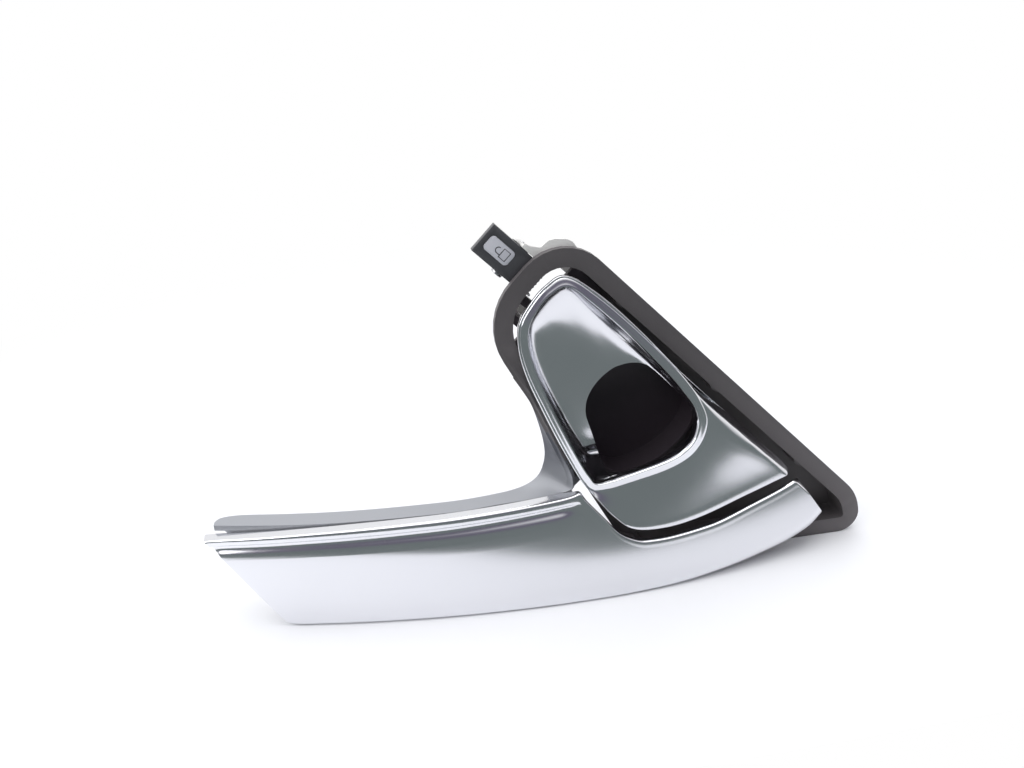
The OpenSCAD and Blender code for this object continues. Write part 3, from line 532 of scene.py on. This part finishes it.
# Node, name, material, slot, body and width of the rounding of the other pieces
OTHERS = [("finger_cup", "cup_shell", black, "black_moulding", "carrier", 0.4),
    ("hinge_bracket", "bracket_body", nylon, "white_nylon", "carrier", 0.4),
    ("lever_yoke", "yoke_body", black, "black_moulding", "lever", 0.35),
    ("lock_tab", "tab_body", tab_dark, "tab_moulding", "lock", 0.45),
    ("lock_inlay", "tab_plate", plate, "silver_plate", "lock", 0.12),
    ("blade_screws", "blade_screw_set", zinc, "zinc_steel", "carrier", 0.2),
    ("cup_screws", "cup_screw_set", zinc, "zinc_steel", "carrier", 0.2),
    ("bracket_screws", "bracket_screw_set", zinc, "zinc_steel", "carrier", 0.2),
    ("hinge_pin", "pin_shaft", pin_steel, "pin_steel", "carrier", 0.25),
    ("pin_clips", "pin_clip", spring_steel, "spring_steel", "carrier", 0.12),
    ("lever_buffers", "buffer_set", rubber, "black_rubber", "carrier", 0.5),
    ("panel_clips", "clip_set", spring_steel, "spring_steel", "carrier", 0.15),
    ("rim_seal", "seal_strip", foam, "foam_strip", "carrier", 0.25),
    ("lock_pin", "lock_pin_shaft", pin_steel, "pin_steel", "carrier", 0.25),
    ("lock_spring", "leaf_spring", spring_steel, "spring_steel", "carrier", 0.1),
    ("yoke_screws", "yoke_screw_set", zinc, "zinc_steel", "lever", 0.2)]
for node, name, mat, slot_name, body, width in OTHERS:
    put(dressed(node, name, [mat], bevel=width), body, slot_name, node)


# The return spring: a round wire on the same line as the solid

def tube_rings(route, radius, sides=12):
    """Rings of points round a wire that winds about the third axis."""
    rings = []
    n = len(route)
    for i in range(n):
        t = (route[min(i + 1, n - 1)] - route[max(i - 1, 0)]).normalized()
        radial = Vector((route[i].x, route[i].y, 0)).normalized()
        p = (radial - t * radial.dot(t)).normalized()
        q = t.cross(p)
        rings.append([route[i] + radius * (p * math.cos(2 * math.pi * j / sides)
            + q * math.sin(2 * math.pi * j / sides)) for j in range(sides)])
    return rings


TURN_STEPS = 36
mean_r = PIN_R + 0.5 + SPRING_WIRE / 2
count = SPRING_TURNS * TURN_STEPS
coil = [Vector((mean_r * math.cos(2 * math.pi * k / TURN_STEPS),
    mean_r * math.sin(2 * math.pi * k / TURN_STEPS), lerp(*SPRING_V, k / count)))
    for k in range(count + 1)]
legs = (Vector((0, -3.4, 0)), Vector((0, 3.6, 0)))
route = [coil[0] + legs[0]] + coil + [coil[-1] + legs[1]]
wire = [[tuple(slant(p.x + HINGE_U, p.y + HINGE_Y, p.z) / MM) for p in ring]
    for ring in tube_rings(route, SPRING_WIRE / 2)]
spring = grid_mesh("spring_coil", wire, False)
finish_mesh(spring, [spring_steel], 60)
put(spring, "carrier", "spring_steel", "return_spring")


# Plain line drawing of a padlock on the tab's plate, as thin raised strips

PLATE_Y = 0.42
LINE_WIDTH = 0.42
LINE_DEPTH = 0.06
PADLOCK_U, PADLOCK_V = -107.6, -18.1


def strip(points, width, depth, y):
    """A thin raised strip along points (u, v) of the hinge frame."""
    bm = bmesh.new()
    rows = []
    n = len(points)
    for i in range(n):
        a, b = points[max(i - 1, 0)], points[min(i + 1, n - 1)]
        t = Vector((b[0] - a[0], b[1] - a[1])).normalized()
        s = Vector((-t.y, t.x)) * width / 2
        c = Vector(points[i])
        rows.append([bm.verts.new(slant(c.x + k * s.x, y - h, c.y + k * s.y))
            for k, h in ((-1, 0), (-0.7, depth), (0.7, depth), (1, 0))])
    for r0, r1 in zip(rows, rows[1:]):
        for k in range(4):
            bm.faces.new((r0[k], r0[(k + 1) % 4], r1[(k + 1) % 4], r1[k]))
    bm.faces.new(rows[0])
    bm.faces.new(reversed(rows[-1]))
    bmesh.ops.recalc_face_normals(bm, faces=bm.faces)
    me = bpy.data.meshes.new("strip")
    bm.to_mesh(me)
    bm.free()
    return me


body_box = [(0.2, -1.9), (0.2, 1.9), (3.2, 1.9), (3.2, -1.9), (0.2, -1.9), (0.2, 0)]
shackle = [(0.1, -1.2)] + [(-1.3 - 1.2 * math.sin(math.pi * k / 10),
    -1.2 * math.cos(math.pi * k / 10)) for k in range(11)]
joined = bmesh.new()
for points in (body_box, shackle):
    placed = [(PADLOCK_U + u, PADLOCK_V + v) for u, v in points]
    joined.from_mesh(strip(placed, LINE_WIDTH, LINE_DEPTH, PLATE_Y))
drawing = bpy.data.meshes.new("tab_drawing")
joined.to_mesh(drawing)
joined.free()
mark = new_object("tab_drawing", drawing)
mark.data.materials.append(ink)
put(mark, "lock", "silver_plate")


# A plain pale floor. It ends just in front of the camera's view, as a table does, so that
# the satin faces mirror the darker room beyond it. Sizes in metres.

FLOOR_FRONT = -0.115
FLOOR_REACH = 4.5
FLOOR_GAP = 0.0002
FLOOR_FADE = (0.24, 0.6)

level = FLOOR_Z * MM - FLOOR_GAP
floor_mesh = bpy.data.meshes.new("floor")
floor_mesh.from_pydata([(-FLOOR_REACH, FLOOR_FRONT, level), (FLOOR_REACH, FLOOR_FRONT, level),
    (FLOOR_REACH, FLOOR_REACH, level), (-FLOOR_REACH, FLOOR_REACH, level)], [], [(0, 1, 2, 3)])
floor = new_object("floor", floor_mesh)
pale = bpy.data.materials.new("pale_floor")
pale.use_nodes = True
tree, link = pale.node_tree, pale.node_tree.links.new
shader = tree.nodes["Principled BSDF"]
shader.inputs["Base Color"].default_value = (0.88, 0.885, 0.9, 1)
shader.inputs["Roughness"].default_value = 0.4
shader.inputs["Specular IOR Level"].default_value = 0.25
# beyond the piece the floor runs out into plain white
distance = add_node(tree, "VectorMath", operation="LENGTH")
link(add_node(tree, "TexCoord").outputs["Object"], distance.inputs[0])
plain = add_node(tree, "Emission", {"Color": (1, 1, 1, 1)})
blend = add_node(tree, "MixShader")
link(smooth_range(tree, distance.outputs["Value"], *FLOOR_FADE), blend.inputs["Fac"])
link(shader.outputs["BSDF"], blend.inputs[1])
link(plain.outputs["Emission"], blend.inputs[2])
link(blend.outputs["Shader"], tree.nodes["Material Output"].inputs["Surface"])
floor.data.materials.append(pale)


# The world: a pale sky, with a darker room behind the camera up to about half way to the
# zenith. Ranges are of the direction's Y and Z.

ROOM_Y = (0.15, -0.45)
ROOM_Z = (0.75, 0.45)
DUSK_Z = (0.05, 0.4)
SKY = (0.95, 0.96, 1.0, 1)
ROOM_LOW = (0.175, 0.2, 0.2, 1)
ROOM_HIGH = (0.15, 0.14, 0.185, 1)
SKY_STRENGTH = 0.95

world = bpy.data.worlds.new("studio")
bpy.context.scene.world = world
world.use_nodes = True
tree, link = world.node_tree, world.node_tree.links.new
tree.nodes.clear()
direction = add_node(tree, "SeparateXYZ")
link(add_node(tree, "TexCoord").outputs["Generated"], direction.inputs["Vector"])
height = direction.outputs["Z"]
room = math_of(tree, "MULTIPLY", smooth_range(tree, direction.outputs["Y"], *ROOM_Y),
    smooth_range(tree, height, *ROOM_Z))
dusk = mix_of(tree, smooth_range(tree, height, *DUSK_Z), ROOM_LOW, ROOM_HIGH)
lit = add_node(tree, "Background", {"Strength": SKY_STRENGTH})
link(mix_of(tree, room, SKY, dusk), lit.inputs["Color"])
white = add_node(tree, "Background", {"Color": (1, 1, 1, 1)})
# the camera sees plain white, and metal and glass see it too outside the darker room
path = add_node(tree, "LightPath")
shiny = math_of(tree, "MAXIMUM", path.outputs["Is Glossy Ray"],
    path.outputs["Is Transmission Ray"])
mirrored = math_of(tree, "MULTIPLY", shiny, math_of(tree, "SUBTRACT", 1.0, room))
mixer = add_node(tree, "MixShader")
link(math_of(tree, "MAXIMUM", path.outputs["Is Camera Ray"], mirrored), mixer.inputs["Fac"])
link(lit.outputs["Background"], mixer.inputs[1])
link(white.outputs["Background"], mixer.inputs[2])
link(mixer.outputs["Shader"], add_node(tree, "OutputWorld").inputs["Surface"])


# Two soft lights: name, place, target and size in metres, and watts

LIGHTS = [("overhead", (-0.1, 0.1, 1.3), (-0.05, 0, -0.05), (1.6, 1.2), 9.0),
    ("left_soft", (-1.1, -0.5, 0.7), (-0.08, 0, -0.03), (0.9, 0.9), 6.0)]
for name, place, target, size, watts in LIGHTS:
    data = bpy.data.lights.new(name, "AREA")
    data.shape = "RECTANGLE"
    data.size, data.size_y = size
    data.energy = watts
    light = new_object(name, data)
    light.location = place
    aim = Vector(target) - Vector(place)
    light.rotation_euler = aim.to_track_quat("-Z", "Y").to_euler()


# The camera, fitted to the photo: focal length and width in its pixels, place in millimetres

FOCAL_PX = 847.0
WIDTH_PX = 1024.0
SENSOR_WIDTH = 36.0
CAMERA_PLACE = (-135.39, -304.97, 144.0)
PITCH, ROLL = math.radians(23.5), math.radians(2.76)
VIEW = (0.156, 0.988)
VIEW_X, VIEW_Y = (c / math.hypot(*VIEW) for c in VIEW)


def heading(a, b, c):
    """A direction from its parts to the right, ahead on the level, and up."""
    return Vector((a * VIEW_Y + b * VIEW_X, -a * VIEW_X + b * VIEW_Y, c))


right = heading(math.cos(ROLL), -math.sin(ROLL) * math.sin(PITCH),
    -math.sin(ROLL) * math.cos(PITCH))
down = heading(-math.sin(ROLL), -math.cos(ROLL) * math.sin(PITCH),
    -math.cos(ROLL) * math.cos(PITCH))
ahead = heading(0, math.cos(PITCH), -math.sin(PITCH))
turn = Matrix((right, -down, -ahead)).transposed().to_4x4()
cam_data = bpy.data.cameras.new("camera")
cam_data.sensor_width = SENSOR_WIDTH
cam_data.lens = FOCAL_PX / WIDTH_PX * SENSOR_WIDTH
cam_data.clip_start = 0.01
cam_data.clip_end = 50
cam = new_object("camera", cam_data)
cam.matrix_world = Matrix.Translation(Vector(CAMERA_PLACE) * MM) @ turn
bpy.context.scene.camera = cam
bpy.context.scene.view_settings.view_transform = "Standard"

bpy.context.view_layer.update()
